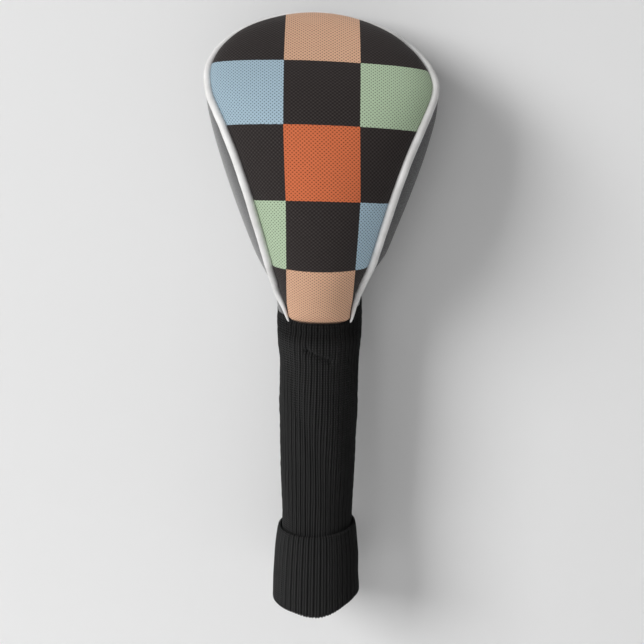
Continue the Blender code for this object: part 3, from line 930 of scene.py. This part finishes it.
# %% Neck casing and elastic
def band(name, radius, low, high, wall, waves, depth, stuff):
    """Closed band round the axis, gathered in waves."""
    def place(u, v):
        angle = u * math.tau
        height = low + v * (high - low)
        size = radius + depth * np.sin(waves * angle) * np.sin(math.pi * (0.15 + 0.7 * v))
        return np.stack((size * np.cos(angle), size * np.sin(angle), height), axis=1)

    made = laid_grid(name, 8 * waves, 12, place, plain_cloth)
    thicken(made, wall)
    made.data.materials.append(stuff)
    return made


casing = band("neck_casing_tape", 20.1, 163.0, 170.2, 0.5, 26, 0.25, tape)
neck_band = band("neck_elastic_band", 19.2, 164.0, 169.2, 0.9, 30, 0.12, elastic)


# %% [markdown]
# ## Tying the pieces to the model
# Most pieces are tied to the body that carries them, and the rigid parts that they stand for
# are hidden. The sock bends at the neck and in the middle; its two upper lengths are not tied.

# %% Rides, and the rigid parts that the pieces stand for
riding = {
    "shell": [crown_panel, sole_panel, *gussets.values(), *layers.values(), piping, filler,
              casing, neck_band],
    "cuff": [cuff_knit],
    "sock_lower": [sock_pieces["sock_lower_knit"]],
}
for body, carried in riding.items():
    for piece in carried:
        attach(piece, body)
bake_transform(sock_pieces["sock_neck_knit"])
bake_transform(sock_pieces["sock_middle_knit"])
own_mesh(sock_pieces["sock_lower_knit"])

stands_for = {
    crown_panel: ("crown_panel",), sole_panel: ("sole_panel",),
    gussets["left"]: ("gusset_left_panel",), gussets["right"]: ("gusset_right_panel",),
    piping: ("piping_wrap",), filler: ("piping_cord",),
    casing: ("neck_casing",), neck_band: ("neck_elastic",),
    sock_pieces["sock_neck_knit"]: ("sock_collar", "sock_front_bend", "sock_upper_band"),
    sock_pieces["sock_middle_knit"]: ("sock_side_bend", "sock_lower_band"),
    sock_pieces["sock_lower_knit"]: ("sock_gather",),
    cuff_knit: ("cuff_inner", "cuff_outer"),
}
stands_for.update({pad: (node,) for node, pad in layers.items()})
for piece, nodes in stands_for.items():
    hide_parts(*nodes)


# %% Flat sizes of the four panels
# flat sizes in metres and square metres, chosen to fit the finished surfaces: width, length, area
CUTS = {
    "crown": (crown_panel, 0.158, 0.208, 0.0178),
    "sole": (sole_panel, 0.132, 0.166, 0.0171),
    "gusset_left": (gussets["left"], 0.050, 0.150, 0.0047),
    "gusset_right": (gussets["right"], 0.050, 0.150, 0.0046),
}
for word, (panel, wide, tall, area) in CUTS.items():
    pad, lining = layers[f"{word}_foam"], layers[f"{word}_lining"]


def cloth_area(piece):
    return sum(face.area for face in piece.data.polygons)


print("areas in square metres:", {piece.name: round(cloth_area(piece), 5) for piece in stands_for})


# %% [markdown]
# ## Backdrop, light and camera
# The cover is shown against pale paper. A wide soft light from the upper left gives the
# panels their gradual shade and leaves a soft shadow on the right.

# %% Stage
def backdrop_material(name, code, one_sided=False):
    made, tree, shader = new_material(name)
    place = add(tree, "TexCoord").outputs["Object"]
    cloud = add(tree, "TexNoise", Vector=place, Scale=1.5, Detail=2.0).outputs[0]
    tone = add(tree, "ValToRGB", Fac=cloud)
    base = linear(code)
    tone.color_ramp.elements[0].color = tuple(0.985 * c for c in base[:3]) + (1.0,)
    tone.color_ramp.elements[1].color = base
    tree.links.new(tone.outputs[0], shader.inputs["Base Color"])
    shader.inputs["Roughness"].default_value = 0.9
    if one_sided:
        clear = add(tree, "BsdfTransparent")
        back = add(tree, "NewGeometry").outputs["Backfacing"]
        both = add(tree, "MixShader", i0=back, i1=shader.outputs[0], i2=clear.outputs[0])
        tree.links.new(both.outputs[0], tree.nodes["Material Output"].inputs["Surface"])
    return made


def sheet_of_paper(name, wide, tall, matrix, material):
    made = bmesh.new()
    bmesh.ops.create_grid(made, x_segments=1, y_segments=1, size=0.5)
    made.transform(matrix @ Matrix.Diagonal((wide, tall, 1, 1)))
    mesh = bpy.data.meshes.new(name)
    made.to_mesh(mesh)
    made.free()
    mesh.materials.append(material)
    paper = bpy.data.objects.new(name, mesh)
    bpy.context.scene.collection.objects.link(paper)
    return paper


WALL_DEPTH = 0.040            # m behind the axis
upright = Matrix.Rotation(math.pi / 2, 4, "X")
sheet_of_paper("paper_wall", 2.4, 2.4, Matrix.Translation((0, WALL_DEPTH, 0.3)) @ upright,
               backdrop_material("matt_white_paper_wall", "#f2f2f2", one_sided=True))
sheet_of_paper("paper_floor", 3.0, 3.0, Matrix.Translation((0, 0, -0.075)),
               backdrop_material("matt_white_paper_floor", "#ececec"))


def soft_light(name, place, target, wide, tall, power, code="#ffffff"):
    data = bpy.data.lights.new(name, "AREA")
    data.shape, data.size, data.size_y = "RECTANGLE", wide, tall
    data.energy, data.color = power, linear(code)[:3]
    made = bpy.data.objects.new(name, data)
    made.location = place
    made.rotation_euler = (Vector(target) - Vector(place)).to_track_quat("-Z", "Y").to_euler()
    bpy.context.scene.collection.objects.link(made)
    return made


MIDDLE = (0.0, 0.0, 0.167)
soft_light("wide_window", (-3.40, -2.80, 1.85), MIDDLE, 2.2, 2.2, 168.0)
soft_light("weak_fill", (-0.3, -1.8, 0.6), MIDDLE, 0.8, 0.8, 4.0)
world = bpy.data.worlds.new("studio")
world.use_nodes = True
world.node_tree.nodes["Background"].inputs[0].default_value = (1.0, 1.0, 1.0, 1.0)
world.node_tree.nodes["Background"].inputs[1].default_value = 0.14
bpy.context.scene.world = world
bpy.context.scene.view_settings.view_transform = "Standard"

# %% Camera
CAMERA_RISE, CAMERA_ROLL, CAMERA_FAR = math.radians(15), math.radians(0.85), 0.8
camera = bpy.data.objects.new("camera", bpy.data.cameras.new("camera"))
camera.data.sensor_width, camera.data.lens = 36.0, 81.3
towards = Vector((0, math.cos(CAMERA_RISE), -math.sin(CAMERA_RISE)))
camera.location = Vector(MIDDLE) + Vector((0.0013, 0, 0)) - CAMERA_FAR * towards
camera.rotation_euler = (towards.to_track_quat("-Z", "Y").to_matrix()
                         @ Matrix.Rotation(CAMERA_ROLL, 3, "Z")).to_euler()
bpy.context.scene.collection.objects.link(camera)
bpy.context.scene.camera = camera
